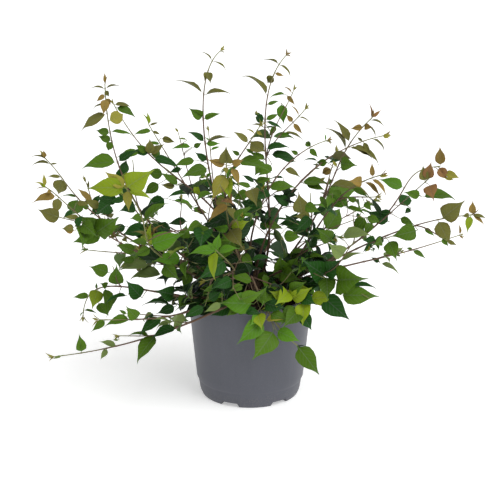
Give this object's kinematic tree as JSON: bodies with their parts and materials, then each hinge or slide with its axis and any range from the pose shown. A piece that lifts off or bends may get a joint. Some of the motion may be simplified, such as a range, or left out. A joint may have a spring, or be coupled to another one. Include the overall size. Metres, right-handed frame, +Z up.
{
  "type": "potted beautybush",
  "caption": "Young beautybush in leaf, with thin arching canes and paired pointed leaves, growing in a round grey plastic nursery pot.",
  "frame": {"origin": "middle of the pot's flat underside, on the floor", "axes": "+Z up along the pot's axis, -Y towards the front as seen in the reference view, +X to the right in that view"},
  "size_m": [0.6876, 0.5515, 0.5407],
  "materials": {
    "pot_plastic": "moulded polypropylene, mid grey, satin",
    "compost": "moist potting compost of peat and bark fibre, matt",
    "bark": "young bark, brown to purple, fibrous, matt",
    "leaf_green": "leaf, mid green, slightly waxy",
    "leaf_dark": "older shaded leaf, dark green, slightly waxy",
    "leaf_lime": "fresh leaf, lime green, soft sheen",
    "leaf_bronze": "young leaf flushed bronze, soft sheen"
  },
  "bodies": {
    "root": {"compost": "compost", "leaves_arch_right": "leaf_green", "leaves_back_left": "leaf_dark", "leaves_back_left_low": "leaf_green", "leaves_back_low": "leaf_dark", "leaves_back_mid": "leaf_dark", "leaves_back_right": "leaf_dark", "leaves_bronze_right": "leaf_bronze", "leaves_cross_right": "leaf_green", "leaves_dark_right": "leaf_dark", "leaves_far_bronze": "leaf_bronze", "leaves_far_low": "leaf_green", "leaves_front_left": "leaf_lime", "leaves_left_high": "leaf_green", "leaves_left_lime": "leaf_lime", "leaves_left_mid": "leaf_green", "leaves_low_left": "leaf_green", "leaves_orange_front": "leaf_bronze", "leaves_rim_front": "leaf_lime", "leaves_slant_back": "leaf_green", "leaves_spread_left": "leaf_green", "leaves_tall_centre": "leaf_green", "leaves_tall_right": "leaf_green", "leaves_thin_low": "leaf_green", "leaves_trail_left": "leaf_green", "leaves_upper_left": "leaf_green", "leaves_upper_left_back": "leaf_green", "leaves_upper_left_thin": "leaf_green", "pot": "pot_plastic", "root_crown": "bark", "stem_arch_right": "bark", "stem_back_left": "bark", "stem_back_left_low": "bark", "stem_back_low": "bark", "stem_back_mid": "bark", "stem_back_right": "bark", "stem_bronze_right": "bark", "stem_cross_right": "bark", "stem_dark_right": "bark", "stem_far_bronze": "bark", "stem_far_low": "bark", "stem_front_left": "bark", "stem_left_high": "bark", "stem_left_lime": "bark", "stem_left_mid": "bark", "stem_low_left": "bark", "stem_orange_front": "bark", "stem_rim_front": "bark", "stem_slant_back": "bark", "stem_spread_left": "bark", "stem_tall_centre": "bark", "stem_tall_right": "bark", "stem_thin_low": "bark", "stem_trail_left": "bark", "stem_upper_left": "bark", "stem_upper_left_back": "bark", "stem_upper_left_thin": "bark"}
  },
  "joints": []
}
